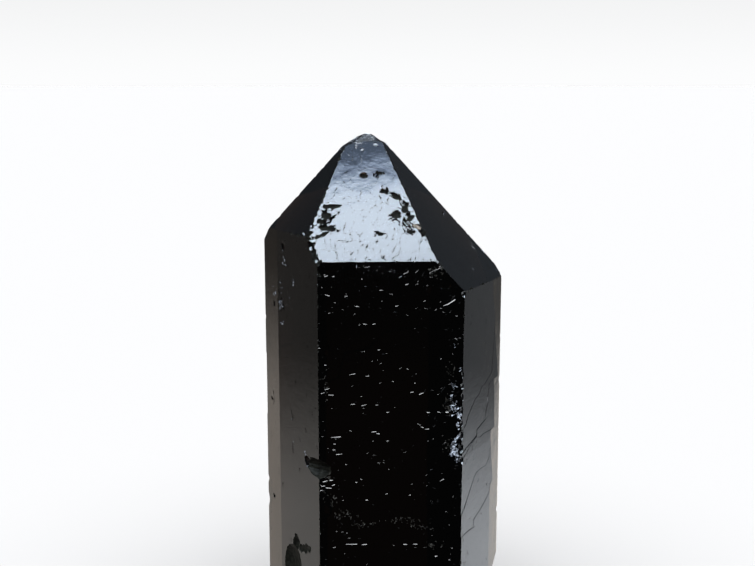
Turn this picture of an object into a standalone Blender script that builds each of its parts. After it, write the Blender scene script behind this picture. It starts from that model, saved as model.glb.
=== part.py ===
"""Rough morion quartz: one black quartz point that stands on its broken foot.

The crystal is a single solid. A block is trimmed by the faces of the growth form: six prism faces
along the growth axis, and six termination faces that lean in at quartz's own angle. Wear and breakage
then blunt its tip and corners and take away the foot, and cutters sink its terraces, chips and pits.

Places on the crystal are given by a face, a distance across that face from its middle (to the right
as one looks at the face) and a height over the flat of the foot. The growth axis is the local Z.
"""

import math
import random

import bmesh
import bpy
from mathutils import Matrix, Vector

MM = 0.001

# Growth form: quartz always has these angles, and each crystal has distances of its own.
AXIAL_RATIO = 1.0999
TERMINATION_ELEVATION = math.atan(math.sqrt(3) / (2 * AXIAL_RATIO))
APEX_HEIGHT = 57.0 * MM
# Each face's direction in degrees, its prism face's distance from the axis, and how far its
# termination face is set back from the apex.
FACES = {
    "front": (-90, 11.6 * MM, 0.0),
    "right": (-30, 13.9 * MM, 0.0),
    "back_right": (30, 10.6 * MM, 2.0 * MM),
    "back": (90, 9.0 * MM, 2.2 * MM),
    "back_left": (150, 8.0 * MM, 2.3 * MM),
    "left": (210, 9.9 * MM, 0.0),
}

# Wear: blunt corners, a rounded tip and narrow worn bands along the edges.
CORNER_WEAR = (0.05 * MM, 0.12 * MM)
EDGE_WEAR = 0.006 * MM
SMALLEST_EDGE = 0.002 * MM
TIP_CENTRE = Vector((0.37, -1.3, 52.03)) * MM
TIP_RADIUS = 1.83 * MM
# How many facets round the tip lie at each height over the horizon, in degrees, and how far they stray.
TIP_FACETS = ((90, 1), (66, 7))
TIP_STRAY = 3
TIP_UNEVEN = 0.04

# The foot's breaks: direction and downward lean in degrees, and the height where each one starts.
FOOT_BREAKS = (
    (-8, 17, 9.4 * MM),
    (38, 40, 3.6 * MM),
    (84, 30, 2.8 * MM),
    (128, 47, 3.6 * MM),
    (176, 35, 2.8 * MM),
    (222, 50, 2.3 * MM),
    (268, 38, 4.3 * MM),
    (310, 52, 3.2 * MM),
)

# Growth terraces: the face, the depth of the lower level at the height of its step, that height, the
# height where the lower level has risen to the face again (none if it stays level), and its outline.
TERRACES = (
    ("right", 0.025, 23.7, 38.0, ((-5.4, 22.6), (-4.4, 22.9), (-3.8, 23.2), (-3.0, 23.6), (-1.8, 23.9),
                                 (-1.1, 23.6), (0.1, 23.7), (1.5, 23.6), (3.8, 23.5), (6.4, 23.9),
                                 (6.4, 39.0), (-5.4, 39.0))),
    ("right", 0.05, 27.0, 38.0, ((-5.4, 23.2), (-1.8, 24.0), (-1.8, 24.6), (-0.8, 24.8), (0.6, 25.1),
                                 (0.5, 25.6), (0.7, 26.2), (1.2, 26.7), (0.9, 27.3), (1.3, 27.9),
                                 (1.2, 28.5), (1.7, 28.8), (3.4, 28.9), (6.4, 29.6), (6.4, 39.0),
                                 (-5.4, 39.0))),
    ("right", 0.08, 27.0, 38.0, ((-5.4, 25.4), (-4.4, 26.0), (-4.1, 26.5), (-3.5, 27.0), (-2.9, 27.4),
                                 (-2.3, 27.9), (-1.4, 28.1), (-0.9, 28.4), (-0.7, 28.8), (0.2, 28.9),
                                 (2.0, 29.6), (3.2, 39.0), (-5.4, 39.0))),
    ("right", 0.045, 18.5, 22.6, ((-5.4, 16.8), (-4.6, 17.4), (-4.2, 17.8), (-3.6, 18.4), (-2.9, 19.1),
                                 (-2.4, 19.6), (-1.6, 20.1), (-0.8, 20.2), (0.6, 20.0), (1.6, 20.6),
                                 (2.4, 23.0), (-5.4, 23.0))),
    ("right", 0.03, 15.2, 22.4, ((-5.4, 14.4), (-4.5, 14.5), (-3.4, 14.5), (-2.2, 14.4), (-2.4, 15.1),
                                 (-1.7, 15.4), (-1.0, 15.6), (0.4, 16.1), (1.8, 16.8), (2.0, 17.6),
                                 (3.6, 18.4), (6.4, 18.8), (6.4, 23.0), (-5.4, 23.0))),
    ("back", 0.09, 30.0, None, ((-6.5, 33.0), (-2.4, 32.4), (-0.6, 30.6), (1.9, 30.1), (2.6, 27.4),
                                (7.5, 25.6), (7.5, 14.0), (3.2, 15.8), (0.4, 15.2), (-2.8, 17.9),
                                (-6.5, 18.6))),
    ("back", 0.07, 42.0, None, ((1.2, 44.4), (2.4, 42.6), (5.6, 41.9), (7.5, 42.0), (7.5, 38.6),
                                (3.4, 39.2), (1.0, 40.6), (0.2, 42.4))),
    ("back_right", 0.08, 24.0, None, ((-7.8, 26.4), (-4.1, 25.9), (-1.8, 24.2), (0.7, 24.0), (2.2, 21.8),
                                      (7.8, 20.4), (7.8, 11.8), (4.0, 12.8), (1.4, 11.9), (-1.9, 13.6),
                                      (-7.8, 14.4))),
    ("back_left", 0.08, 34.0, None, ((-7.0, 37.2), (-3.4, 36.6), (-1.2, 34.9), (1.6, 34.4), (3.0, 31.8),
                                     (7.0, 31.0), (7.0, 24.6), (2.6, 25.8), (-0.8, 25.0), (-3.1, 27.2),
                                     (-7.0, 27.9))),
)
# The steps' slope against the face, and how far a terrace's cutter stands out of the face.
TERRACE_SLOPE = math.radians(21)
TERRACE_LIFT = 0.03

# Scoops: the face, across, height, width, length, depth in millimetres, and turn in degrees.
ETCH_PITS = (
    ("front", -3.25, 47.15, 1.9, 0.50, 0.16, 4),
    ("front", -3.90, 46.30, 0.95, 1.05, 0.26, 30),
    ("front", -4.30, 45.75, 0.55, 0.70, 0.20, 60),
    ("front", -3.75, 45.20, 1.55, 0.62, 0.20, -8),
    ("front", -4.30, 44.60, 1.7, 0.30, 0.12, 26),
    ("front", 1.75, 48.50, 0.80, 0.50, 0.18, 20),
    ("front", 3.05, 48.00, 1.15, 0.62, 0.20, -32),
    ("front", 3.85, 47.00, 0.55, 1.05, 0.18, -18),
    ("front", 2.95, 46.35, 0.95, 0.80, 0.22, 40),
    ("front", 4.35, 46.10, 0.62, 0.75, 0.16, -30),
    ("front", 4.95, 45.30, 1.25, 0.52, 0.17, -28),
    ("front", 4.20, 44.90, 0.60, 0.34, 0.14, -50),
    ("front", 5.35, 44.85, 0.55, 0.34, 0.14, -50),
    ("front", -0.15, 49.95, 0.80, 0.62, 0.22, -12),
    ("front", 1.55, 50.20, 0.85, 0.30, 0.14, -14),
    ("front", 1.35, 44.70, 0.75, 0.26, 0.12, -16),
    ("left", 0.75, 42.90, 0.75, 1.10, 0.18, 12),
    ("left", -1.40, 36.80, 0.55, 1.00, 0.15, 4),
    ("left", 0.60, 36.80, 0.34, 0.70, 0.12, 0),
    ("left", -2.30, 26.60, 0.70, 0.90, 0.16, 25),
    ("left", -2.20, 15.90, 0.75, 0.85, 0.20, 30),
    ("left", 5.30, 21.90, 1.20, 1.60, 0.30, 20),
    ("left", 2.00, 9.70, 3.40, 4.50, 0.50, -14),
    ("left", 2.75, 12.30, 1.20, 1.90, 0.30, -20),
    ("left", 4.60, 12.40, 2.60, 0.70, 0.14, 18),
    ("left", 4.90, 44.60, 0.90, 0.60, 0.18, -30),
    ("back", -2.10, 24.40, 1.10, 0.60, 0.18, 8),
    ("back", 2.80, 35.20, 0.80, 0.50, 0.16, -10),
    ("back", -1.30, 47.60, 1.30, 0.50, 0.16, 22),
    ("back", 0.90, 46.20, 0.70, 0.60, 0.16, -15),
    ("back_left", 1.90, 20.20, 1.00, 0.60, 0.18, 14),
    ("back_left", -2.60, 41.80, 0.90, 0.44, 0.14, 0),
    ("back_left", 0.60, 46.90, 1.10, 0.50, 0.16, -24),
    ("back_right", -2.60, 33.40, 1.20, 0.50, 0.16, -6),
    ("back_right", 3.10, 28.60, 0.80, 0.50, 0.15, 10),
    ("back_right", 0.80, 46.40, 1.00, 0.50, 0.15, 18),
    ("right", 0.90, 45.90, 0.80, 0.40, 0.12, 30),
)

# Chips on an edge: the two faces that meet there, height, width, length and depth in millimetres.
EDGE_CHIPS = (
    ("left", "front", 43.7, 1.6, 1.3, 0.34),
    ("left", "front", 42.5, 1.1, 1.0, 0.26),
    ("left", "front", 45.4, 1.0, 0.9, 0.20),
    ("front", "right", 39.1, 1.3, 0.8, 0.26),
    ("front", "right", 31.1, 0.9, 1.0, 0.20),
    ("front", "right", 30.0, 1.2, 0.9, 0.24),
    ("front", "right", 28.9, 1.0, 1.1, 0.20),
    ("front", "right", 27.5, 1.3, 1.2, 0.24),
    ("front", "right", 26.2, 1.2, 1.0, 0.22),
    ("front", "right", 25.0, 1.6, 1.3, 0.30),
    ("front", "right", 23.7, 1.9, 1.3, 0.34),
    ("front", "right", 22.5, 1.5, 1.1, 0.26),
    ("front", "right", 19.4, 0.7, 0.5, 0.16),
    ("back_left", "left", 35.0, 0.9, 1.0, 0.16),
    ("back_left", "left", 17.4, 1.2, 1.2, 0.22),
    ("back_left", "left", 15.0, 1.3, 2.0, 0.24),
    ("right", "back_right", 28.4, 1.0, 1.2, 0.16),
    ("right", "back_right", 14.1, 1.1, 0.9, 0.26),
    ("back_right", "back", 37.4, 1.8, 2.4, 0.42),
    ("back_right", "back", 22.0, 1.4, 1.8, 0.30),
    ("back", "back_left", 30.6, 1.6, 2.1, 0.36),
    ("back", "back_left", 12.8, 2.2, 2.6, 0.50),
)

# Shell-shaped fractures: the centre and the radii of the hollow that each one follows.
FRACTURES = (
    ((-8.0, -14.0, 21.7), (5.0, 5.0, 1.7)),
    ((-2.6, -13.9, -0.6), (7.6, 5.6, 5.4)),
    ((11.6, -11.2, -0.6), (5.6, 5.4, 6.2)),
    ((15.6, 3.2, -0.8), (5.6, 6.8, 7.2)),
    ((3.8, 12.6, -1.2), (7.0, 5.2, 5.6)),
    ((-11.6, 7.4, -0.6), (6.2, 5.6, 5.2)),
    ((-12.6, -5.4, -1.2), (5.2, 5.0, 5.6)),
)

# A scoop is a shallow part of an ellipsoid: how many of its depths the middle lies outside the face,
# how many of its radii the cut spans, and how finely the ellipsoids of scoops and fractures are made.
SCOOP_LIFT = 1.5
SCOOP_SPREAD = 1.6
SCOOP_DETAIL = 2
FRACTURE_DETAIL = 3
HOLLOW_UNEVEN = 0.09

COLOUR = (0.012, 0.0105, 0.0095)
ROUGHNESS = 0.06
INDEX_OF_REFRACTION = 1.544

ON_PLANE = 0.0001 * MM
UNEVEN = random.Random(7)


def facing(azimuth, elevation=0.0):
    """Unit vector at a compass direction and a height over the horizon, in degrees."""
    level = math.cos(math.radians(elevation))
    return Vector((level * math.cos(math.radians(azimuth)),
                   level * math.sin(math.radians(azimuth)),
                   math.sin(math.radians(elevation))))


def reach(face, height):
    """Distance from the growth axis to a face at a height: to the prism, or to the termination."""
    _, distance, setback = FACES[face]
    slope = math.tan(TERMINATION_ELEVATION)
    return min(distance, (APEX_HEIGHT - height) * slope - setback / math.cos(TERMINATION_ELEVATION))


def face_frame(face, across, height):
    """Frame on a face: X to the right, Y up the face and Z out of it."""
    azimuth, distance, _ = FACES[face]
    outward = reach(face, height)
    elevation = 0.0 if outward == distance else math.degrees(TERMINATION_ELEVATION)
    normal = facing(azimuth, elevation)
    right = facing(azimuth + 90)
    place = facing(azimuth) * outward + right * across
    place.z = height
    frame = Matrix((right, normal.cross(right), normal)).transposed().to_4x4()
    return Matrix.Translation(place) @ frame


def edge_frame(face, other, height):
    """Frame on the edge of two neighbouring faces: Y along the edge and Z out between the faces."""
    first, second = facing(FACES[face][0]), facing(FACES[other][0])
    near, far = reach(face, height), reach(other, height)
    cosine = first.dot(second)
    scale = 1 - cosine * cosine
    place = first * ((near - far * cosine) / scale) + second * ((far - near * cosine) / scale)
    place.z = height
    normals = [face_frame(name, 0.0, height).col[2].to_3d() for name in (face, other)]
    along = normals[0].cross(normals[1]).normalized()
    outward = (normals[0] + normals[1]).normalized()
    frame = Matrix((along.cross(outward), along, outward)).transposed().to_4x4()
    return Matrix.Translation(place) @ frame


def trim(bm, place, normal):
    """Cut away all that lies in front of a plane, and close the cut with one flat face."""
    everything = bm.verts[:] + bm.edges[:] + bm.faces[:]
    cut = bmesh.ops.bisect_plane(bm, geom=everything, dist=ON_PLANE, plane_co=place,
                                 plane_no=normal, clear_outer=True)["geom_cut"]
    rim = [item for item in cut if isinstance(item, bmesh.types.BMEdge)]
    if len(rim) > 2:
        bmesh.ops.contextual_create(bm, geom=rim)


def grow_form(bm):
    """The ideal crystal: a block trimmed by the prism faces and the termination faces."""
    bmesh.ops.create_cube(bm, size=2 * APEX_HEIGHT)
    for azimuth, distance, setback in FACES.values():
        prism = facing(azimuth)
        trim(bm, prism * distance, prism)
        termination = facing(azimuth, math.degrees(TERMINATION_ELEVATION))
        trim(bm, Vector((0, 0, APEX_HEIGHT)) - termination * setback, termination)


def wear_form(bm):
    """Blunt each corner of the growth form a little, and turn each sharp edge into a narrow band."""
    corners = [(vert.co.copy(), vert.normal.copy(), UNEVEN.uniform(*CORNER_WEAR))
               for vert in bm.verts if vert.co.z > 0]
    edges = [(edge.verts[0].co.copy(), sum((face.normal for face in edge.link_faces), Vector()), EDGE_WEAR)
             for edge in bm.edges]
    for place, outward, depth in edges + corners:
        normal = outward.normalized()
        trim(bm, place - normal * depth, normal)


def wear_tip(bm):
    """Round the tip with small facets."""
    for elevation, count in TIP_FACETS:
        for index in range(count):
            turn = 360 * (index + UNEVEN.uniform(0.1, 0.6)) / count
            normal = facing(turn, elevation + UNEVEN.uniform(-TIP_STRAY, TIP_STRAY))
            radius = TIP_RADIUS * (1 - UNEVEN.uniform(0, TIP_UNEVEN))
            trim(bm, TIP_CENTRE + normal * radius, normal)


def prism_reach(azimuth):
    """How far the prism extends from the axis in a compass direction."""
    rim = [edge_frame(face, other, 0.0).translation for face, other in zip(FACES, tuple(FACES)[1:])]
    rim.append(edge_frame(tuple(FACES)[-1], tuple(FACES)[0], 0.0).translation)
    return max(place.dot(facing(azimuth)) for place in rim)


def break_foot(bm):
    """Break the crystal off: sloping breaks round the foot, and the flat that it stands on."""
    for azimuth, lean, start in FOOT_BREAKS:
        place = facing(azimuth) * prism_reach(azimuth)
        place.z = start
        trim(bm, place, facing(azimuth, -lean))
    trim(bm, Vector((0, 0, 0)), Vector((0, 0, -1)))


def add_hollow(bm, frame, radii, detail):
    """Add an uneven ellipsoid to a cutter."""
    shape = frame @ Matrix.Diagonal((*radii, 1))
    ball = bmesh.ops.create_icosphere(bm, subdivisions=detail, radius=1.0)["verts"]
    for vert in ball:
        vert.co *= 1 - UNEVEN.uniform(0, HOLLOW_UNEVEN)
    bmesh.ops.transform(bm, matrix=shape, verts=ball)


def add_scoop(bm, frame, width, length, depth):
    """Add the ellipsoid whose cut on a face has this width, length and depth, in millimetres."""
    radii = (width / SCOOP_SPREAD * MM, length / SCOOP_SPREAD * MM, (1 + SCOOP_LIFT) * depth * MM)
    add_hollow(bm, frame @ Matrix.Translation((0, 0, SCOOP_LIFT * depth * MM)), radii, SCOOP_DETAIL)


def widened(outline, spread):
    """The outline with each of its sides moved outwards by its own corner's spread."""
    sides = list(zip(outline, outline[1:] + outline[:1]))
    way = math.copysign(1, sum(here.cross(after) for here, after in sides))
    normals = [Vector((after.y - here.y, here.x - after.x)).normalized() * way for here, after in sides]
    return [here + (first + second) * room / (1 + first.dot(second))
            for here, room, first, second in zip(outline, spread, normals[-1:] + normals[:-1], normals)]


def add_terrace(bm, face, depth, step, end, outline):
    """Add the block that lowers the outlined part of a face by one growth step with sloping sides."""
    outline = [Vector(point) for point in outline]
    depths = [depth if end is None else depth * (end - point.y) / (end - step) for point in outline]
    spread = [max(0.0, deep + TERRACE_LIFT) / math.tan(TERRACE_SLOPE) for deep in depths]
    top = widened(outline, spread)
    frame = face_frame(face, 0.0, step * MM) @ Matrix.Translation((0, -step * MM, 0))
    floor = [bm.verts.new(frame @ (Vector((point.x, point.y, -deep)) * MM))
             for point, deep in zip(outline, depths)]
    lid = [bm.verts.new(frame @ (Vector((point.x, point.y, max(TERRACE_LIFT, TERRACE_LIFT - deep))) * MM))
           for point, deep in zip(top, depths)]
    bm.faces.new(floor)
    bm.faces.new(lid)
    for index, corner in enumerate(floor):
        bm.faces.new((corner, floor[index - 1], lid[index - 1], lid[index]))
    bmesh.ops.recalc_face_normals(bm, faces=bm.faces[:])


def new_object(name, bm, collection):
    """Put a finished bmesh into the scene under a name."""
    mesh = bpy.data.meshes.new(name)
    bm.to_mesh(mesh)
    bm.free()
    thing = bpy.data.objects.new(name, mesh)
    collection.objects.link(thing)
    return thing


def new_cutter(name, bm, crystal, collection):
    """Make a hidden cutter and take it out of the crystal."""
    cutter = new_object(name, bm, collection)
    cutter.hide_render = True
    cutter.display_type = "WIRE"
    cut = crystal.modifiers.new(name, "BOOLEAN")
    cut.operation = "DIFFERENCE"
    cut.object = cutter
    cut.use_self = True
    return cutter


def cut_terraces(crystal, collection):
    cutters = []
    for number, terrace in enumerate(TERRACES):
        bm = bmesh.new()
        add_terrace(bm, *terrace)
        cutters.append(new_cutter(f"terrace_cutter_{number}", bm, crystal, collection))
    return cutters


def cut_fractures(crystal, collection):
    bm = bmesh.new()
    for centre, radii in FRACTURES:
        add_hollow(bm, Matrix.Translation(Vector(centre) * MM), Vector(radii) * MM, FRACTURE_DETAIL)
    return new_cutter("fracture_cutter", bm, crystal, collection)


def cut_chips(crystal, collection):
    bm = bmesh.new()
    for face, other, height, width, length, depth in EDGE_CHIPS:
        add_scoop(bm, edge_frame(face, other, height * MM), width, length, depth)
    return new_cutter("chip_cutter", bm, crystal, collection)


def cut_pits(crystal, collection):
    bm = bmesh.new()
    for face, across, height, width, length, depth, turn in ETCH_PITS:
        frame = face_frame(face, across * MM, height * MM)
        add_scoop(bm, frame @ Matrix.Rotation(math.radians(turn), 4, "Z"), width, length, depth)
    return new_cutter("pit_cutter", bm, crystal, collection)


def morion_material():
    """Quartz that is smoky enough to look black."""
    material = bpy.data.materials.new("morion")
    material.use_nodes = True
    surface = material.node_tree.nodes["Principled BSDF"]
    surface.inputs["Base Color"].default_value = (*COLOUR, 1)
    surface.inputs["Roughness"].default_value = ROUGHNESS
    surface.inputs["Metallic"].default_value = 0.0
    surface.inputs["IOR"].default_value = INDEX_OF_REFRACTION
    return material


def centre_on_origin(crystal, cutters):
    """Stand the crystal so that the origin is the middle of its bounding box's floor."""
    evaluated = crystal.evaluated_get(bpy.context.evaluated_depsgraph_get())
    corners = [Vector(corner) for corner in evaluated.bound_box]
    stand = bpy.data.objects.new("stand", None)
    crystal.users_collection[0].objects.link(stand)
    for axis in range(2):
        values = [corner[axis] for corner in corners]
        stand.location[axis] = -(min(values) + max(values)) / 2
    for thing in (crystal, *cutters):
        thing.parent = stand


def make_crystal():
    collection = bpy.context.scene.collection
    bm = bmesh.new()
    grow_form(bm)
    wear_form(bm)
    wear_tip(bm)
    break_foot(bm)
    bmesh.ops.remove_doubles(bm, verts=bm.verts[:], dist=SMALLEST_EDGE)
    crystal = new_object("crystal", bm, collection)
    crystal.data.materials.append(morion_material())
    cutters = cut_terraces(crystal, collection)
    cutters.append(cut_fractures(crystal, collection))
    cutters.append(cut_chips(crystal, collection))
    cutters.append(cut_pits(crystal, collection))
    centre_on_origin(crystal, cutters)


for leftover in list(bpy.data.objects):
    bpy.data.objects.remove(leftover, do_unlink=True)
make_crystal()
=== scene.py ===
"""Looks of the rough morion quartz: a black quartz point with mirror faces, etch pits and frosted chips.

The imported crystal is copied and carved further: growth faces stay flat, fractures get their shell-like
ripples, and hundreds of small pits, dashes and chips are cut where the real crystal has them.
Places on the crystal are given as in the construction: a face, the millimetres across it from the
growth axis (to the right as one looks at the face) and the millimetres over the foot.
"""

import itertools
import math
import random

import bmesh
import bpy
from mathutils import Matrix, Vector
from mathutils.bvhtree import BVHTree


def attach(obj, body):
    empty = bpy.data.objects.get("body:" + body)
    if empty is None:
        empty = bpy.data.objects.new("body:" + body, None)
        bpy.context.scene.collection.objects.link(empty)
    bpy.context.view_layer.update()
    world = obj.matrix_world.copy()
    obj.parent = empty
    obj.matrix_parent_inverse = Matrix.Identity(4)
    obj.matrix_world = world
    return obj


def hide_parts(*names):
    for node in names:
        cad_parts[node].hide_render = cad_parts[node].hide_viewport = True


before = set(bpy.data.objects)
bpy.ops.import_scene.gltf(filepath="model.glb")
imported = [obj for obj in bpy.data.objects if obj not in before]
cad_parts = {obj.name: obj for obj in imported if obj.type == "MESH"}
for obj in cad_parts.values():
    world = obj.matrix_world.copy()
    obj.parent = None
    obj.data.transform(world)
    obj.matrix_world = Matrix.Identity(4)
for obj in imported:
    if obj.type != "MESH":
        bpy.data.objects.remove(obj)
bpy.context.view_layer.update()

MM = 0.001
NODE = "crystal"

# The directions of the growth faces, and how far over the horizon quartz's termination faces look.
FACES = {"front": -90, "right": -30, "back_right": 30, "back": 90, "back_left": 150, "left": 210}
AXIAL_RATIO = 1.0999
TERMINATION_ELEVATION = math.atan(math.sqrt(3) / (2 * AXIAL_RATIO))

# The camera, seen from the point where the front, left and right termination planes meet.
CAMERA_FROM_APEX = Vector((-3.33, -119.33, 2.83)) * MM
CAMERA_DOWN = math.radians(10.3)
CAMERA_TURN = math.radians(2.3)
FOCAL_PIXELS = 1150
PHOTO_WIDTH = 755
SENSOR_WIDTH = 36.0

# Hollows of the larger fractures: centre from the growth axis and the foot, and radii, in millimetres.
FRACTURES = (
    ((-8.0, -14.0, 21.7), (5.0, 5.0, 1.7)),
    ((-2.6, -13.9, -0.6), (7.6, 5.6, 5.4)),
    ((11.6, -11.2, -0.6), (5.6, 5.4, 6.2)),
    ((15.6, 3.2, -0.8), (5.6, 6.8, 7.2)),
    ((3.8, 12.6, -1.2), (7.0, 5.2, 5.6)),
    ((-11.6, 7.4, -0.6), (6.2, 5.6, 5.2)),
    ((-12.6, -5.4, -1.2), (5.2, 5.0, 5.6)),
)
# Shell-like ripples of a fracture: the pole that they ring, how many there are and how high they are.
FRACTURE_POLE = (0.5, 0.7, 0.5)
FRACTURE_RINGS = 26
FRACTURE_RIPPLE = 0.012

# A scoop is the cap of an ellipsoid whose middle stands this many depths over the face. The cap is then
# as wide and long as the ellipsoid's radii times this.
SCOOP_RISE = 1.5
SCOOP_SPREAD = 1.6

# The broken hollow low on the left face: scoops in the order of the termination's marks below.
BROKEN_HOLLOW = (
    (2.00, 9.70, 3.50, 4.60, 0.55, -14),
    (2.75, 12.30, 1.20, 1.90, 0.34, -20),
    (4.60, 12.40, 2.60, 0.70, 0.16, 18),
)

# The rough hollows of the front termination face, where the coarser solid has them too.
ETCHED_HOLLOWS = (
    (-3.25, 47.15, 1.90, 0.50, 0.16, 4), (-3.90, 46.30, 0.95, 1.05, 0.26, 30),
    (-4.30, 45.75, 0.55, 0.70, 0.20, 60), (-3.75, 45.20, 1.55, 0.62, 0.20, -8),
    (-4.30, 44.60, 1.70, 0.30, 0.12, 26), (1.75, 48.50, 0.80, 0.50, 0.18, 20),
    (3.05, 48.00, 1.15, 0.62, 0.20, -32), (3.85, 47.00, 0.55, 1.05, 0.18, -18),
    (2.95, 46.35, 0.95, 0.80, 0.22, 40), (4.35, 46.10, 0.62, 0.75, 0.16, -30),
    (4.95, 45.30, 1.25, 0.52, 0.17, -28), (4.20, 44.90, 0.60, 0.34, 0.14, -50),
    (5.35, 44.85, 0.55, 0.34, 0.14, -50), (-0.15, 49.95, 0.80, 0.62, 0.22, -12),
    (1.55, 50.20, 0.85, 0.30, 0.14, -14), (1.35, 44.70, 0.75, 0.26, 0.12, -16),
)

# Hollows are cut a little larger than the coarser solid's, so that nothing of those is left. The dents
# of a rough hollow stand this far from its middle, as a share of its width and length.
FRACTURE_WIDENING = 1.01
HOLLOW_WIDENING = 1.04
HOLLOW_DEEPENING = 1.1
HOLLOW_RIM = 0.46

# Scoops of the front termination face: across, height, width, length and depth in millimetres, and turn.
TERMINATION_MARKS = (
    (-0.35, 51.20, 0.10, 1.05, 0.035, -8),
    (-1.85, 50.25, 0.75, 0.10, 0.035, 18),
    (-1.70, 51.40, 0.38, 0.10, 0.035, 30),
    (-1.50, 51.90, 0.30, 0.10, 0.030, 30),
    (-0.45, 48.35, 0.14, 0.85, 0.050, -10),
    (0.95, 44.90, 0.85, 0.12, 0.045, 12),
    (1.95, 44.40, 0.12, 0.60, 0.045, -30),
    (-0.80, 44.60, 0.24, 0.20, 0.050, 0),
    (3.20, 43.90, 0.22, 0.30, 0.050, -20),
    (5.30, 44.10, 0.16, 0.75, 0.045, -22),
)

# Bright dashes of the front prism face: across, height, length and depth in millimetres, and turn.
DASHES = (
    (8.05, 38.35, 0.90, 0.14, 34), (7.50, 38.05, 0.40, 0.10, 20), (8.25, 38.80, 0.45, 0.10, 52),
    (6.60, 41.50, 1.00, 0.09, 24), (7.10, 41.90, 0.50, 0.08, 30), (3.70, 41.20, 0.50, 0.08, 24),
    (5.35, 41.10, 0.50, 0.09, 62), (4.75, 41.35, 0.45, 0.08, 40), (0.00, 41.80, 0.50, 0.07, 10),
    (3.80, 40.10, 0.35, 0.08, 14), (1.35, 39.55, 0.30, 0.08, 0), (2.85, 38.00, 0.30, 0.09, 8),
    (-0.95, 38.00, 0.28, 0.08, 0), (-0.20, 36.25, 0.35, 0.09, -8), (0.65, 36.25, 0.30, 0.08, 10),
    (-3.90, 40.95, 0.35, 0.08, 20), (-3.80, 39.10, 0.45, 0.10, -14), (-2.00, 39.00, 0.28, 0.07, 0),
    (-1.45, 31.30, 0.55, 0.08, 12), (-4.05, 32.25, 0.18, 0.09, 0), (1.15, 33.70, 0.22, 0.09, 0),
    (0.00, 31.10, 0.35, 0.07, 10), (-3.90, 29.85, 0.45, 0.08, 12), (-4.30, 29.45, 0.40, 0.07, 10),
    (-3.50, 29.25, 0.50, 0.07, -4), (-1.40, 28.30, 0.40, 0.08, 6), (-0.30, 28.20, 0.50, 0.07, 14),
    (0.95, 28.20, 0.25, 0.07, 0), (2.00, 27.45, 0.22, 0.09, 0), (5.25, 29.30, 0.45, 0.10, 18),
    (5.60, 29.60, 0.30, 0.09, 62), (4.35, 29.45, 0.30, 0.07, 8), (7.35, 29.70, 0.65, 0.10, 58),
    (5.95, 27.40, 0.25, 0.10, 0), (7.00, 27.40, 0.30, 0.08, -20), (5.05, 26.20, 0.35, 0.08, -30),
    (5.35, 25.90, 0.30, 0.09, -10), (5.85, 25.70, 0.35, 0.08, 8), (6.55, 26.00, 0.30, 0.09, 48),
    (6.60, 26.80, 0.25, 0.08, 70), (7.80, 27.40, 0.30, 0.12, 0), (-3.05, 25.00, 0.95, 0.10, 5),
    (-3.20, 24.30, 0.20, 0.08, 0), (-3.25, 23.70, 0.25, 0.07, 0), (-2.75, 23.25, 0.55, 0.09, 4),
    (0.65, 25.50, 0.45, 0.09, 8), (1.05, 25.30, 0.30, 0.10, -6), (2.00, 24.55, 0.18, 0.09, 0),
    (7.55, 24.25, 0.35, 0.08, 40), (-4.15, 20.50, 0.45, 0.10, 14), (-3.55, 20.60, 0.30, 0.11, 0),
    (-4.35, 20.00, 0.35, 0.09, 10), (-3.80, 19.80, 0.55, 0.09, -6), (-4.50, 19.55, 0.30, 0.08, 6),
    (-3.35, 20.10, 0.30, 0.10, 22), (-1.10, 20.35, 0.18, 0.09, 0), (-0.05, 18.50, 0.22, 0.10, 0),
    (7.35, 20.45, 0.45, 0.09, 34), (6.95, 18.30, 0.30, 0.12, 80), (4.20, 18.95, 0.20, 0.07, 0),
    (-1.30, 16.25, 0.30, 0.08, 78), (-1.60, 13.90, 1.10, 0.08, 0), (-0.30, 13.85, 0.50, 0.08, 4),
    (3.75, 13.80, 0.35, 0.08, 0), (4.75, 13.80, 0.40, 0.08, 0), (6.85, 12.50, 0.22, 0.12, 10),
)
# How far a dash's lower wall leans out of the face, in degrees, so that it mirrors the light overhead,
# the share of its depth that it is cut to, and how many tiny ones there are.
DASH_WALL = 36
DASH_DEEPENING = 0.6
SMALL_DASHES = 480

# How the marks of a patch spread round its middle, as a share of its half-width and half-height, and how
# far across a face they may reach.
PATCH_SPREAD = 0.6
PATCH_REACH = 9.25

# Bruises where the front and right prism faces meet: across the front face, height, half-width and
# half-height of each patch of crushed quartz in millimetres, and how many splinters it holds.
BRUISES = (
    (8.50, 33.80, 0.10, 0.30, 3), (8.95, 31.90, 0.16, 0.30, 4), (8.37, 30.10, 0.22, 0.30, 12),
    (8.10, 28.80, 0.20, 0.30, 8), (8.55, 27.75, 0.38, 0.55, 46), (8.95, 27.05, 0.16, 0.25, 14),
    (8.85, 25.90, 0.08, 0.40, 10), (8.95, 25.10, 0.15, 0.30, 12), (8.62, 24.60, 0.22, 0.25, 14),
    (8.45, 23.70, 0.32, 0.50, 58), (8.70, 23.00, 0.32, 0.45, 26), (8.92, 22.50, 0.20, 0.25, 10),
)

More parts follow.
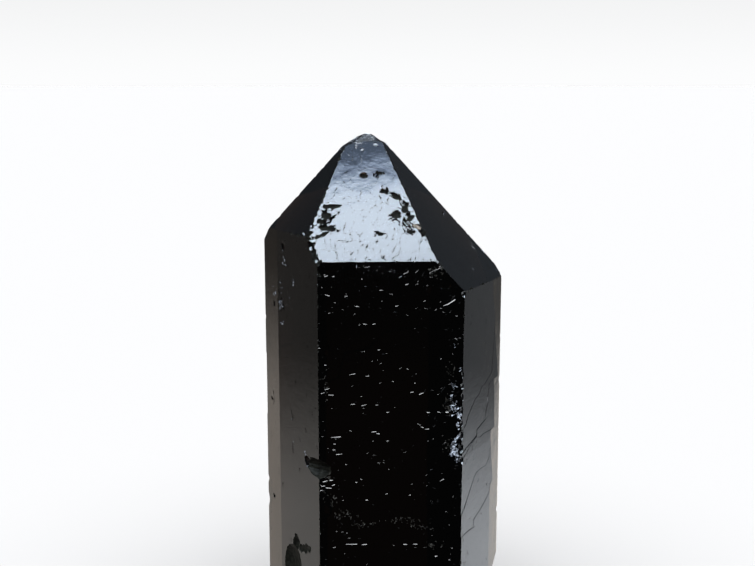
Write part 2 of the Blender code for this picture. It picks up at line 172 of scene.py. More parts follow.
# Patches of crowded etch marks on the front termination face: across, height, half-width and
# half-height in millimetres, how the marks lie in degrees, and how many there are.
ETCHED_PATCHES = (
    (-3.85, 46.90, 0.50, 0.45, 10, 16), (-3.70, 46.00, 0.45, 0.50, 30, 24),
    (-4.25, 45.55, 0.35, 0.50, 60, 14), (-3.55, 45.15, 0.60, 0.20, -6, 16),
    (1.75, 48.50, 0.35, 0.20, 20, 8), (2.90, 48.05, 0.55, 0.30, -32, 20),
    (3.70, 47.25, 0.40, 0.45, -24, 20), (2.90, 46.35, 0.45, 0.35, 40, 18),
    (4.20, 46.35, 0.30, 0.40, -30, 14), (3.85, 45.70, 0.50, 0.25, -50, 16),
    (4.90, 45.30, 0.55, 0.30, -28, 18), (4.40, 44.90, 0.55, 0.20, -50, 12),
    (5.45, 44.90, 0.25, 0.30, -50, 5), (-0.10, 49.95, 0.40, 0.25, -12, 7),
    (1.20, 50.10, 0.55, 0.25, 70, 7), (1.30, 44.75, 0.40, 0.12, -14, 5),
)

# Scratches of the side faces: the face, across, height and length in millimetres, depth, and turn. The
# lower wall of one that is turned to the right looks left, and the other way round.
SIDE_SCRATCHES = (
    ("left", -1.95, 27.10, 0.80, 0.07, -78), ("left", -1.85, 26.35, 0.80, 0.07, -105),
    ("left", -2.60, 22.50, 0.80, 0.06, -70), ("left", -2.70, 21.80, 0.70, 0.06, -110),
    ("left", 2.30, 22.40, 1.15, 0.05, -90), ("left", 2.10, 26.20, 0.60, 0.06, -62),
    ("left", 2.35, 25.60, 0.70, 0.06, -112), ("left", 3.85, 23.70, 0.45, 0.05, -60),
    ("left", 5.10, 25.00, 0.50, 0.06, -75), ("left", 3.74, 20.50, 0.40, 0.05, -90),
    ("left", -0.05, 17.70, 0.60, 0.05, -95), ("left", -3.10, 15.10, 0.60, 0.06, -80),
    ("left", 0.15, 37.40, 0.60, 0.06, 66), ("left", -0.25, 38.10, 0.55, 0.05, 100),
    ("left", 0.80, 36.70, 0.50, 0.06, 84), ("left", 0.20, 36.30, 0.35, 0.05, 60),
    ("left", -0.60, 37.30, 0.40, 0.05, 110), ("left", 3.10, 29.40, 0.50, 0.05, -82),
    ("right", 0.30, 33.20, 0.45, 0.04, 80), ("right", -1.20, 19.00, 0.35, 0.05, 60),
    ("right", 1.10, 17.90, 0.30, 0.05, 100), ("right", -2.10, 16.40, 0.35, 0.05, 30),
    ("right", -3.20, 15.70, 0.40, 0.06, 20), ("right", 0.20, 26.30, 0.80, 0.05, 86),
)

# How deep a scratch is cut, in its own depths.
SCRATCH_DEEPENING = 2.2

# Dim splinters of the front prism face: across, height, half-width and half-height, and how many.
DULL_PATCHES = (
    (8.05, 28.10, 0.45, 0.80, 40), (7.80, 24.10, 0.40, 0.70, 18), (6.60, 41.20, 1.10, 0.60, 26),
    (-2.30, 17.00, 0.90, 0.40, 26), (-0.30, 15.90, 1.00, 0.35, 24), (3.70, 16.30, 1.10, 0.40, 26),
    (5.20, 15.60, 0.80, 0.35, 18), (6.20, 13.70, 0.90, 0.40, 18), (-3.90, 20.90, 0.60, 0.60, 18),
    (-3.60, 18.50, 0.80, 0.70, 16), (8.10, 31.60, 0.40, 0.90, 14), (-4.20, 30.20, 0.40, 1.20, 16),
)

# Rough breaks where the front, left and upper faces meet: the face, across, height and size.
CORNER_BREAKS = (
    ("front", -5.55, 45.60, 0.45), ("front", -5.55, 45.10, 0.60), ("front", -5.50, 44.60, 0.65),
    ("front", -5.40, 44.10, 0.72), ("front", -5.25, 43.60, 0.75), ("front", -5.05, 43.10, 0.75),
    ("front", -4.80, 42.60, 0.75), ("front", -4.80, 42.00, 0.60), ("front", -4.85, 41.40, 0.40),
    ("front", -4.90, 40.80, 0.30), ("left", 5.00, 44.60, 0.90), ("left", 6.20, 44.65, 0.80),
    ("left", 6.70, 44.05, 1.05), ("left", 6.90, 43.40, 1.00), ("left", 7.00, 42.70, 0.95),
)

# Frosted specks of the left prism face: across, height, half-width and half-height, and how many.
FROSTED_PATCHES = (
    (0.90, 41.50, 0.25, 0.60, 8), (2.85, 39.80, 0.40, 0.45, 6), (-1.35, 38.15, 0.50, 0.60, 9),
    (0.35, 36.90, 0.50, 0.55, 16), (0.30, 35.00, 0.30, 0.30, 4), (1.20, 38.30, 1.30, 1.10, 5),
    (4.95, 22.10, 0.14, 0.45, 14), (2.40, 24.60, 0.50, 1.10, 3),
)

# The middle of the worn tip, from the growth planes' meeting point, and the number of its chips.
TIP_FROM_APEX = Vector((0.37, -1.3, -4.97)) * MM
TIP_CHIPS = 170

# Outer strips of the two side faces, which lie a little askew: the face, the side that the strip is on,
# its width in millimetres and its angle. Each strip turns about an upright hinge.
STRIPS = (("left", -1, 3.0, 2.2), ("right", 1, 2.3, 1.3), ("right", 1, 1.2, 2.7))
STRIP_HINGE_HEIGHT = 0.028

# Edges are nibbled at places this far apart, with the first chance, or with the second one beside the
# front termination face.
NICK_SPACING = 0.35 * MM
NICK_CHANCE = 0.32
FRONT_NICK_CHANCE = 0.75

# Where fine pits and dashes are scattered: across a face, up a termination face and up a prism face.
FACE_REACH = (-9, 10)
TERMINATION_REACH = (39.5, 53.5)
PRISM_REACH = (1.0, 42.0)

# Smoky quartz: its index of refraction, and its smoke. Its absorption per millimetre of depth is one
# minus these numbers, for red, green and blue.
INDEX_OF_REFRACTION = 1.544
SMOKE_DENSITY = 1000.0
SMOKE_PASSES = (0.645, 0.605, 0.575)

# The studio: a cool light overhead with a dim blue middle, a pale table behind that the sides mirror,
# and a plain white floor and backdrop.
SKY_COLOUR = (0.87, 1.0, 1.16, 1)
SKY_MIDDLE_COLOUR = (0.74, 0.98, 1.42, 1)
TABLE_LEFT_COLOUR = (1.04, 1.0, 0.95, 1)
TABLE_RIGHT_COLOUR = (0.95, 1.0, 1.06, 1)
TABLE_BACK_COLOUR = (1.09, 1.0, 0.90, 1)
BACKDROP_COLOUR = (0.99, 0.995, 1.0, 1)
FLOOR_COLOUR = (0.2634, 0.2294, 0.1982, 1)
FLOOR_RADIUS = 6.0

# Edges of the light overhead in degrees from straight up, and its strength there.
RING_OUTER_EDGE = (56, 49)
RING_INNER_EDGE = (24, 21)
RING_MIDDLE_EDGE = (20.0, 17.4)
RING_STRENGTH = 14.0
RING_MIDDLE_STRENGTH = 0.12

# Ends of the table's bright part in degrees from the right, and how far down a direction looks where the
# table brightens.
TABLE_RIGHT_END = (38.6, 42.8)
TABLE_LEFT_END = (146.6, 144.0)
TABLE_RISE = (-0.225, -0.375)

# The prism's upper end in metres, where the growth lines fade.
SHOULDER_HEIGHTS = (0.0435, 0.0415)

# How fine the patterns of the finishes are, in waves or cells a metre.
SWELLS = 520.0
GROWTH_LINES = 3400.0
DIMPLES = 1150.0
DIMPLED_AREAS = 330.0
WEAR = 800.0
BREAK_GRAIN = 2600.0
FROST_CRACKS = 5200.0
HAZE_CLOUDS = 4200.0

# The darkest and palest colour of each dull finish.
BREAK_COLOURS = ((0.0014, 0.0014, 0.0010, 1), (0.0085, 0.0082, 0.0060, 1))
FROST_COLOURS = ((0.008, 0.008, 0.009, 1), (0.42, 0.43, 0.46, 1))
HAZE_COLOURS = ((0.006, 0.005, 0.004, 1), (0.038, 0.035, 0.029, 1))


def facing(azimuth, elevation=0.0):
    """Unit vector at a compass direction and a height over the horizon, in degrees."""
    level = math.cos(math.radians(elevation))
    return Vector((level * math.cos(math.radians(azimuth)),
                   level * math.sin(math.radians(azimuth)),
                   math.sin(math.radians(elevation))))


def merged_copy(node):
    """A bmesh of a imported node, with its loose triangles joined and its flat faces whole."""
    bm = bmesh.new()
    bm.from_mesh(bpy.data.objects[node].data)
    bmesh.ops.remove_doubles(bm, verts=bm.verts[:], dist=0.0005 * MM)
    bmesh.ops.dissolve_limit(bm, angle_limit=math.radians(0.2), verts=bm.verts[:], edges=bm.edges[:])
    return bm


class Growth:
    """The planes of the growth form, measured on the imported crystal."""

    def __init__(self, bm):
        places = [vert.co.copy() for vert in bm.verts]
        self.prism = {name: max(place.dot(facing(turn)) for place in places)
                      for name, turn in FACES.items()}
        lean = math.degrees(TERMINATION_ELEVATION)
        self.termination = {name: max(place.dot(facing(turn, lean)) for place in places)
                            for name, turn in FACES.items()}
        normals = [facing(FACES[name], lean) for name in ("front", "right", "left")]
        offsets = Vector([self.termination[name] for name in ("front", "right", "left")])
        self.apex = Matrix(normals).inverted() @ offsets

    def frame(self, face, across, height):
        """Frame on a face: X to the right, Y up the face and Z out of it. Across and height in mm."""
        level, right = facing(FACES[face]), facing(FACES[face] + 90)
        lean = math.degrees(TERMINATION_ELEVATION)
        shoulder = self.termination[face] - height * MM * math.sin(TERMINATION_ELEVATION)
        reach = min(self.prism[face], shoulder / math.cos(TERMINATION_ELEVATION))
        normal = level if reach == self.prism[face] else facing(FACES[face], lean)
        start = self.apex.dot(right)
        place = level * reach + right * (start + across * MM)
        place.z = height * MM
        turn = Matrix((right, normal.cross(right), normal)).transposed().to_4x4()
        return Matrix.Translation(place) @ turn

    def planes(self):
        """Every growth face's outward normal and distance."""
        lean = math.degrees(TERMINATION_ELEVATION)
        for name, turn in FACES.items():
            yield facing(turn), self.prism[name]
            yield facing(turn, lean), self.termination[name]

    def edges(self, spacing):
        """Frames along every edge of the growth form: Y along the edge and Z out of it."""
        for (first, near), (second, far) in itertools.combinations(self.planes(), 2):
            along = first.cross(second)
            if along.length < 0.01:
                continue
            foot = (near * second.cross(along) + far * along.cross(first)) / along.length_squared
            along.normalize()
            outward = (first + second).normalized()
            turn = Matrix((along.cross(outward), along, outward)).transposed().to_4x4()
            for step in range(-140, 140):
                place = foot + along * step * spacing
                if place.z > 0 and self.holds(place, 0.01 * MM):
                    yield Matrix.Translation(place) @ turn

    def holds(self, place, slack=0.0):
        """Whether a place lies inside all the growth faces, or no further out than the slack."""
        return all(place.dot(normal) <= distance + slack for normal, distance in self.planes())


class Cutter:
    """Small hollows that are taken out of the crystal together, and that leave one finish."""

    def __init__(self, name, material, seed):
        self.name = name
        self.material = material
        self.chance = random.Random(seed)
        self.bm = bmesh.new()

    def hollow(self, frame, radii, detail, uneven=0.09, ripple=0.0):
        """Add an uneven ellipsoid, with rings of ripples round one pole if it is a fracture."""
        ball = bmesh.ops.create_icosphere(self.bm, subdivisions=detail, radius=1.0)["verts"]
        blow = Vector(FRACTURE_POLE).normalized()
        for vert in ball:
            wave = math.sin(FRACTURE_RINGS * vert.co.normalized().angle(blow)) * ripple
            vert.co *= 1 + wave - self.chance.uniform(0, uneven)
        bmesh.ops.transform(self.bm, matrix=frame @ Matrix.Diagonal((*radii, 1)), verts=ball)

    def scoop(self, frame, width, length, depth, detail=2, uneven=0.12):
        """Add the ellipsoid whose cut on a face has this width, length and depth, in millimetres."""
        radii = (width / SCOOP_SPREAD * MM, length / SCOOP_SPREAD * MM, (SCOOP_RISE + 1) * depth * MM)
        raised = Matrix.Translation((0, 0, SCOOP_RISE * depth * MM))
        self.hollow(frame @ raised, radii, detail, uneven)

    def groove(self, frame, length, depth, wall=DASH_WALL):
        """Add a tapering three-sided dash whose lower wall leans this far out of the face."""
        ends = [1.2 * depth * MM, 1.2 * depth * self.chance.uniform(0.35, 0.85) * MM]
        self.chance.shuffle(ends)
        bar = bmesh.ops.create_cone(self.bm, cap_ends=True, segments=3, radius1=ends[0],
                                    radius2=ends[1], depth=length * MM)["verts"]
        lift = Matrix.Translation((0, 0, 0.1 * depth * MM))
        turn = Matrix.Rotation(math.radians(90 - wall), 4, "X") @ Matrix.Rotation(math.pi / 2, 4, "Y")
        bmesh.ops.transform(self.bm, matrix=frame @ lift @ turn, verts=bar)

    def cut(self, crystal, smooth=False):
        """Take the hollows out of the crystal's mesh."""
        for face in self.bm.faces:
            face.smooth = smooth
        mesh = bpy.data.meshes.new(self.name)
        self.bm.to_mesh(mesh)
        self.bm.free()
        mesh.materials.append(self.material)
        shape = bpy.data.objects.new(self.name, mesh)
        bpy.context.scene.collection.objects.link(shape)
        knife = crystal.modifiers.new(self.name, "BOOLEAN")
        knife.operation = "DIFFERENCE"
        knife.object = shape
        knife.use_self = True
        knife.material_mode = "TRANSFER"
        carved = bpy.data.meshes.new_from_object(
            crystal.evaluated_get(bpy.context.evaluated_depsgraph_get()))
        crystal.modifiers.remove(knife)
        crystal.data = carved
        bpy.data.objects.remove(shape)


def add_node(tree, kind, settings=None, inputs=None):
    """Add a shader node with its settings and the values of its inputs."""
    node = tree.nodes.new(kind)
    for name, value in (settings or {}).items():
        setattr(node, name, value)
    for name, value in (inputs or {}).items():
        node.inputs[name].default_value = value
    return node


def maths(tree, operation, first, second):
    """Add a Math node. Each of its inputs is a number or another node's output."""
    node = add_node(tree, "ShaderNodeMath", {"operation": operation})
    for socket, value in zip(node.inputs, (first, second)):
        if isinstance(value, bpy.types.NodeSocket):
            tree.links.new(value, socket)
        else:
            socket.default_value = value
    return node.outputs[0]


def ramp(tree, value, start, end, low, high, smooth=True):
    """Map a value from start..end to low..high, and hold it outside that range."""
    kind = "SMOOTHSTEP" if smooth else "LINEAR"
    node = add_node(tree, "ShaderNodeMapRange", {"interpolation_type": kind, "clamp": True})
    tree.links.new(value, node.inputs["Value"])
    for name, number in zip(("From Min", "From Max", "To Min", "To Max"), (start, end, low, high)):
        node.inputs[name].default_value = number
    return node.outputs["Result"]


def upness(zenith_angle):
    """The upward part of a direction this many degrees from straight up."""
    return math.cos(math.radians(zenith_angle))


def blend(tree, share, low, high):
    """Mix two colours. Each is a fixed colour or another node's output."""
    node = add_node(tree, "ShaderNodeMix", {"data_type": "RGBA"})
    tree.links.new(share, node.inputs["Factor"])
    colours = [socket for socket in node.inputs if socket.type == "RGBA"]
    for socket, value in zip(colours, (low, high)):
        if isinstance(value, bpy.types.NodeSocket):
            tree.links.new(value, socket)
        else:
            socket.default_value = value
    return next(socket for socket in node.outputs if socket.type == "RGBA")


def sky_light(tree, x, y, z):
    """A soft ring of light overhead that is dim in its middle and stays in front."""
    ring = ramp(tree, z, *map(upness, RING_OUTER_EDGE), 0.0, RING_STRENGTH)
    bright = ramp(tree, z, *map(upness, RING_INNER_EDGE), 0.85, 1.0)
    middle = ramp(tree, z, *map(upness, RING_MIDDLE_EDGE), 0.0, 1.0)
    front = ramp(tree, y, 0.30, 0.02, 0.10, 1.0)
    dim = ramp(tree, middle, 0.0, 1.0, 1.0, RING_MIDDLE_STRENGTH, smooth=False)
    glow = maths(tree, "MULTIPLY", maths(tree, "MULTIPLY", ring, dim), maths(tree, "MULTIPLY", bright, front))
    haze = ramp(tree, x, -0.6, 0.6, 0.10, 0.15)
    strength = maths(tree, "MULTIPLY", maths(tree, "ADD", glow, haze), ramp(tree, z, -0.03, 0.0, 0.0, 1.0))
    return strength, blend(tree, middle, SKY_COLOUR, SKY_MIDDLE_COLOUR)


def table_light(tree, x, y, z):
    """The pale table: dark towards the camera, brighter behind and below."""
    turn = maths(tree, "ARCTAN2", y, x)
    right_end = ramp(tree, turn, *map(math.radians, TABLE_RIGHT_END), 0.0, 1.0)
    left_end = ramp(tree, turn, *map(math.radians, TABLE_LEFT_END), 0.0, 1.0)
    back = maths(tree, "MULTIPLY", right_end, left_end)
    shift = maths(tree, "MULTIPLY", back, ramp(tree, x, -0.5, 0.5, 0.075, 0.086))
    lowered = maths(tree, "SUBTRACT", maths(tree, "ADD", z, ramp(tree, x, -0.5, 0.5, 0.0, 0.022)), shift)
    rise = ramp(tree, lowered, *TABLE_RISE, 0.0, 1.0)
    extra = maths(tree, "MULTIPLY", back, ramp(tree, x, -0.5, 0.5, 0.3, 0.1))
    height = maths(tree, "MULTIPLY", ramp(tree, x, -0.8, 0.8, 0.55, 1.30), maths(tree, "ADD", extra, 1.0))
    lit = maths(tree, "ADD", maths(tree, "MULTIPLY", rise, height), ramp(tree, x, -0.8, 0.8, 0.13, 0.25))
    lit = maths(tree, "MULTIPLY", lit, ramp(tree, y, -0.35, 0.2, 0.0, 1.0))
    lit = maths(tree, "ADD", lit, ramp(tree, y, -0.2, -0.6, 0.0, 0.025))
    strength = maths(tree, "MULTIPLY", lit, ramp(tree, z, 0.0, -0.03, 0.0, 1.0))
    sides = blend(tree, ramp(tree, x, -0.5, 0.5, 0.0, 1.0), TABLE_LEFT_COLOUR, TABLE_RIGHT_COLOUR)
    return strength, blend(tree, back, sides, TABLE_BACK_COLOUR)


def make_world():
    """Soft studio light, with a plain white backdrop where the camera looks past the crystal."""
    world = bpy.data.worlds.new("studio")
    bpy.context.scene.world = world
    world.use_nodes = True
    tree = world.node_tree
    tree.nodes.clear()
    way = add_node(tree, "ShaderNodeTexCoord").outputs["Generated"]
    split = add_node(tree, "ShaderNodeSeparateXYZ")
    tree.links.new(way, split.inputs[0])
    both = add_node(tree, "ShaderNodeAddShader")
    for part, socket in zip((sky_light, table_light), both.inputs):
        light = add_node(tree, "ShaderNodeBackground")
        strength, colour = part(tree, *split.outputs)
        tree.links.new(strength, light.inputs["Strength"])
        tree.links.new(colour, light.inputs["Color"])
        tree.links.new(light.outputs[0], socket)
    plain = add_node(tree, "ShaderNodeBackground", inputs={"Color": BACKDROP_COLOUR})
    tree.links.new(ramp(tree, split.outputs["Z"], 0.08, -0.01, 0.90, 0.985), plain.inputs["Strength"])
    choice = add_node(tree, "ShaderNodeMixShader")
    camera_ray = add_node(tree, "ShaderNodeLightPath").outputs["Is Camera Ray"]
    tree.links.new(camera_ray, choice.inputs[0])
    tree.links.new(both.outputs[0], choice.inputs[1])
    tree.links.new(plain.outputs[0], choice.inputs[2])
    output = add_node(tree, "ShaderNodeOutputWorld")
    tree.links.new(choice.outputs[0], output.inputs["Surface"])


def make_floor():
    """A plain pale floor. The crystal mirrors the studio's light and not the floor's edge."""
    bm = bmesh.new()
    bmesh.ops.create_circle(bm, cap_ends=True, segments=96, radius=FLOOR_RADIUS)
    mesh = bpy.data.meshes.new("floor")
    bm.to_mesh(mesh)
    bm.free()
    floor = bpy.data.objects.new("floor", mesh)
    bpy.context.scene.collection.objects.link(floor)
    material = bpy.data.materials.new("pale_floor")
    material.use_nodes = True
    surface = material.node_tree.nodes["Principled BSDF"]
    surface.inputs["Base Color"].default_value = FLOOR_COLOUR
    surface.inputs["Roughness"].default_value = 0.9
    surface.inputs["Specular IOR Level"].default_value = 0.0
    mesh.materials.append(material)
    floor.visible_glossy = False
    floor.visible_transmission = False


def make_camera(growth):
    """The photograph's own view: a little from above and from the left."""
    data = bpy.data.cameras.new("camera")
    data.sensor_width = SENSOR_WIDTH
    data.lens = FOCAL_PIXELS / PHOTO_WIDTH * SENSOR_WIDTH
    data.clip_start = 0.005
    camera = bpy.data.objects.new("camera", data)
    bpy.context.scene.collection.objects.link(camera)
    turn = Matrix.Rotation(-CAMERA_TURN, 4, "Z") @ Matrix.Rotation(math.pi / 2 - CAMERA_DOWN, 4, "X")
    camera.matrix_world = Matrix.Translation(growth.apex + CAMERA_FROM_APEX) @ turn
    bpy.context.scene.camera = camera


def speckle(tree, place, scale, detail, low, high, low_value, high_value):
    """A noise pattern on a place, mapped from low..high to low_value..high_value."""
    cloud = add_node(tree, "ShaderNodeTexNoise", inputs={"Scale": scale, "Detail": detail})
    tree.links.new(place, cloud.inputs["Vector"])
    return ramp(tree, cloud.outputs["Fac"], low, high, low_value, high_value)


def skin_group():
    """What every glassy face shares: faint swells, fine growth lines, shallow dimples, and wear."""
    group = bpy.data.node_groups.new("growth_skin", "ShaderNodeTree")
    group.interface.new_socket("Normal", in_out="OUTPUT", socket_type="NodeSocketVector")
    group.interface.new_socket("Roughness", in_out="OUTPUT", socket_type="NodeSocketFloat")
    place = add_node(group, "ShaderNodeTexCoord").outputs["Object"]
    flat = add_node(group, "ShaderNodeVectorMath", {"operation": "MULTIPLY"})
    group.links.new(place, flat.inputs[0])
    flat.inputs[1].default_value = (0.22, 0.22, 1.0)
    split = add_node(group, "ShaderNodeSeparateXYZ")
    group.links.new(place, split.inputs[0])
    prism = ramp(group, split.outputs["Z"], *SHOULDER_HEIGHTS, 0.25, 6.0)
    swell = speckle(group, place, SWELLS, 3.0, 0.2, 0.8, 0.0, 5.0)
    lines = speckle(group, flat.outputs[0], GROWTH_LINES, 2.0, 0.2, 0.8, 0.0, 0.25)
    lines = maths(group, "MULTIPLY", lines, prism)
    cells = add_node(group, "ShaderNodeTexVoronoi", inputs={"Scale": DIMPLES})
    group.links.new(place, cells.inputs["Vector"])
    dimple = ramp(group, cells.outputs["Distance"], 0.02, 0.13, -5.0, 0.0)
    where = speckle(group, place, DIMPLED_AREAS, 1.0, 0.50, 0.62, 0.0, 1.0)
    height = maths(group, "ADD", maths(group, "ADD", swell, lines), maths(group, "MULTIPLY", dimple, where))
    bump = add_node(group, "ShaderNodeBump", inputs={"Strength": 1.0, "Distance": 0.001 * MM})
    group.links.new(height, bump.inputs["Height"])
    output = add_node(group, "NodeGroupOutput")
    group.links.new(bump.outputs[0], output.inputs["Normal"])
    wear = speckle(group, place, WEAR, 4.0, 0.35, 0.75, 0.012, 0.06)
    group.links.new(wear, output.inputs["Roughness"])
    return group


def new_finish(name, colour, roughness):
    """A material with one plain surface."""
    material = bpy.data.materials.new(name)
    material.use_nodes = True
    surface = material.node_tree.nodes["Principled BSDF"]
    surface.inputs["Base Color"].default_value = (*colour, 1)
    surface.inputs["Roughness"].default_value = roughness
    surface.inputs["IOR"].default_value = INDEX_OF_REFRACTION
    return material, material.node_tree, surface


def morion_material():
    """Clear quartz full of smoke: light is taken by its depth, so thick parts look black."""
    material, tree, surface = new_finish("morion", (1, 1, 1), 0.02)
    surface.inputs["Transmission Weight"].default_value = 1.0
    skin = add_node(tree, "ShaderNodeGroup", {"node_tree": skin_group()})
    tree.links.new(skin.outputs["Normal"], surface.inputs["Normal"])
    tree.links.new(skin.outputs["Roughness"], surface.inputs["Roughness"])
    smoke = add_node(tree, "ShaderNodeVolumeAbsorption",
                     inputs={"Color": (*SMOKE_PASSES, 1), "Density": SMOKE_DENSITY})
    tree.links.new(smoke.outputs[0], tree.nodes["Material Output"].inputs["Volume"])
    return material


def broken_material():
    """The rough skin of a fresh break: too uneven to see into, and nearly as black as the inside."""
    material, tree, surface = new_finish("broken", (0.005, 0.005, 0.004), 0.4)
    surface.inputs["Specular IOR Level"].default_value = 0.03
    place = add_node(tree, "ShaderNodeTexCoord").outputs["Object"]
    grain = speckle(tree, place, BREAK_GRAIN, 4.0, 0.2, 0.8, 0.0, 1.0)
    tree.links.new(blend(tree, grain, *BREAK_COLOURS), surface.inputs["Base Color"])
    bump = add_node(tree, "ShaderNodeBump", inputs={"Strength": 1.0, "Distance": 0.05 * MM})
    tree.links.new(grain, bump.inputs["Height"])
    tree.links.new(bump.outputs[0], surface.inputs["Normal"])
    return material


def frost_material():
    """Crushed quartz: a dull white bruise full of tiny cracks."""
    material, tree, surface = new_finish("frost", (0.2, 0.2, 0.2), 0.4)
    place = add_node(tree, "ShaderNodeTexCoord").outputs["Object"]
    cracks = speckle(tree, place, FROST_CRACKS, 3.0, 0.44, 0.58, 0.0, 1.0)
    tree.links.new(blend(tree, cracks, *FROST_COLOURS), surface.inputs["Base Color"])
    return material


def haze_material():
    """Bruised quartz with smoke still over it: dim, brownish and dull."""
    material, tree, surface = new_finish("haze", (0.02, 0.018, 0.014), 0.45)
    surface.inputs["Specular IOR Level"].default_value = 0.05
    place = add_node(tree, "ShaderNodeTexCoord").outputs["Object"]
    cloud = speckle(tree, place, HAZE_CLOUDS, 2.0, 0.35, 0.65, 0.0, 1.0)
    tree.links.new(blend(tree, cloud, *HAZE_COLOURS), surface.inputs["Base Color"])
    return material


def glint_material():
    """The bottom of an etched dash: crushed just enough to hide the smoke below, and still shiny."""
    material, _, surface = new_finish("glint", (0.008, 0.008, 0.008), 0.13)
    surface.inputs["Specular IOR Level"].default_value = 0.9
    surface.inputs["Specular Tint"].default_value = (1.0, 0.90, 0.80, 1)
    return material


def cut_fractures(crystal, growth, glass, broken):
    """The shell-shaped breaks: fine ripples over the coarser solid's hollows, and one rough notch."""
    for name, material, fractures in (("notch", broken, FRACTURES[:1]), ("breaks", glass, FRACTURES[1:])):
        cutter = Cutter(name, material, 3)
        for centre, radii in fractures:
            place = Vector(centre) * MM
            place.xy += growth.apex.xy
            cutter.hollow(Matrix.Translation(place), Vector(radii) * FRACTURE_WIDENING * MM,
                          detail=5, uneven=0.0, ripple=FRACTURE_RIPPLE)
        cutter.cut(crystal, smooth=True)


def cut_rough_hollows(crystal, growth, broken, face, hollows, detail, dents, sizes):
    """Rough hollows of a face, with dents of these sizes in millimetres along their rims."""
    cutter = Cutter("rough_hollows", broken, 12)
    for across, height, width, length, depth, turn in hollows:
        place = turned(growth.frame(face, across, height), turn)
        cutter.scoop(place, HOLLOW_WIDENING * width, HOLLOW_WIDENING * length,
                     HOLLOW_DEEPENING * depth, detail=detail, uneven=0.03)
        for _ in range(dents):
            way = cutter.chance.uniform(0, math.tau)
            shift = Matrix.Translation((HOLLOW_RIM * width * math.cos(way) * MM,
                                        HOLLOW_RIM * length * math.sin(way) * MM, 0))
            size = cutter.chance.uniform(*sizes)
            cutter.scoop(turned(place @ shift, math.degrees(way)), size, size * 1.6, size * 0.3)
    cutter.cut(crystal)


def turned(frame, degrees):
    """The frame, turned on its face."""
    return frame @ Matrix.Rotation(math.radians(degrees), 4, "Z")


def splinters(cutter, growth, patches, face="front"):
    """Fill patches of a face with tiny breaks that lie every way."""
    chance = cutter.chance
    for across, height, half_width, half_height, count in patches:
        for _ in range(count):
            over = min(across + chance.gauss(0, PATCH_SPREAD) * half_width, PATCH_REACH)
            place = growth.frame(face, over, height + chance.gauss(0, PATCH_SPREAD) * half_height)
            length = 0.07 + 0.30 * chance.random() ** 2
            cutter.groove(turned(place, chance.uniform(0, 180)), length,
                          chance.uniform(0.035, 0.095), chance.uniform(10, 65))


def cut_corner_breaks(crystal, growth, broken):
    """The rough upper corner of the front, left and upper faces."""
    cutter = Cutter("corner_breaks", broken, 14)
    for face, across, height, size in CORNER_BREAKS:
        for _ in range(4):
            over, up = cutter.chance.gauss(across, 0.14), cutter.chance.gauss(height, 0.22)
            place = turned(growth.frame(face, over, up), cutter.chance.uniform(0, 180))
            cutter.scoop(place, size, size * cutter.chance.uniform(0.6, 1.2), size * 0.3, detail=1)
    cutter.cut(crystal)


def cut_marks(crystal, growth, glass):
    """The single marks: etch marks of the termination face, and scratches of the side faces."""
    cutter = Cutter("marks", glass, 4)
    chance = cutter.chance
    for across, height, half_width, half_height, lie, count in ETCHED_PATCHES:
        for _ in range(count):
            place = growth.frame("front", across + chance.gauss(0, PATCH_SPREAD) * half_width,
                                 height + chance.gauss(0, PATCH_SPREAD) * half_height)
            cutter.groove(turned(place, chance.gauss(lie, 22)), chance.uniform(0.18, 0.62),
                          chance.uniform(0.07, 0.16), chance.uniform(30, 60))
    for face, across, height, length, depth, turn in SIDE_SCRATCHES:
        place = turned(growth.frame(face, across, height), turn)
        cutter.groove(place, length, SCRATCH_DEEPENING * depth)
    for across, height, width, length, depth, turn in TERMINATION_MARKS:
        cutter.scoop(turned(growth.frame("front", across, height), turn), width, length, depth)
    cutter.cut(crystal)


def cut_dashes(crystal, growth, glint):
    """The bright dashes and points of the front prism face."""
    cutter = Cutter("dashes", glint, 15)
    for across, height, length, depth, turn in DASHES:
        place = turned(growth.frame("front", across, height), turn)
        cutter.groove(place, length, DASH_DEEPENING * depth)
    scatter(cutter, growth, "front", SMALL_DASHES, PRISM_REACH, prism_density(0.009), small_dash)
    cutter.cut(crystal)


def cut_strips(crystal, growth, glass):
    """Lay the outer strips of the two side faces a little askew, as the crystal grew them."""
    cutter = Cutter("strips", glass, 6)
    for face, side, width, angle in STRIPS:
        turn = FACES[face]
        corner = max((place for place in growth.edges(1 * MM) if abs(place.col[1].z) > 0.99
                      and abs(place.translation.dot(facing(turn)) - growth.prism[face]) < 0.01 * MM),
                     key=lambda place: side * place.translation.dot(facing(turn + 90)))
        hinge = corner.translation - facing(turn + 90) * side * width * MM
        hinge.z = STRIP_HINGE_HEIGHT
        block = bmesh.ops.create_cube(cutter.bm, size=1.0)["verts"]
        shape = Matrix.Translation((side * 5 * MM, 0, 2 * MM)) @ Matrix.Diagonal(
            (10 * MM, 80 * MM, 4 * MM, 1))
        normal = facing(turn)
        frame = Matrix((facing(turn + 90), Vector((0, 0, 1)), normal)).transposed().to_4x4()
        tilt = Matrix.Rotation(side * math.radians(angle), 4, "Y")
        bmesh.ops.transform(cutter.bm, matrix=Matrix.Translation(hinge) @ frame @ tilt @ shape,
                            verts=block)
    cutter.cut(crystal)


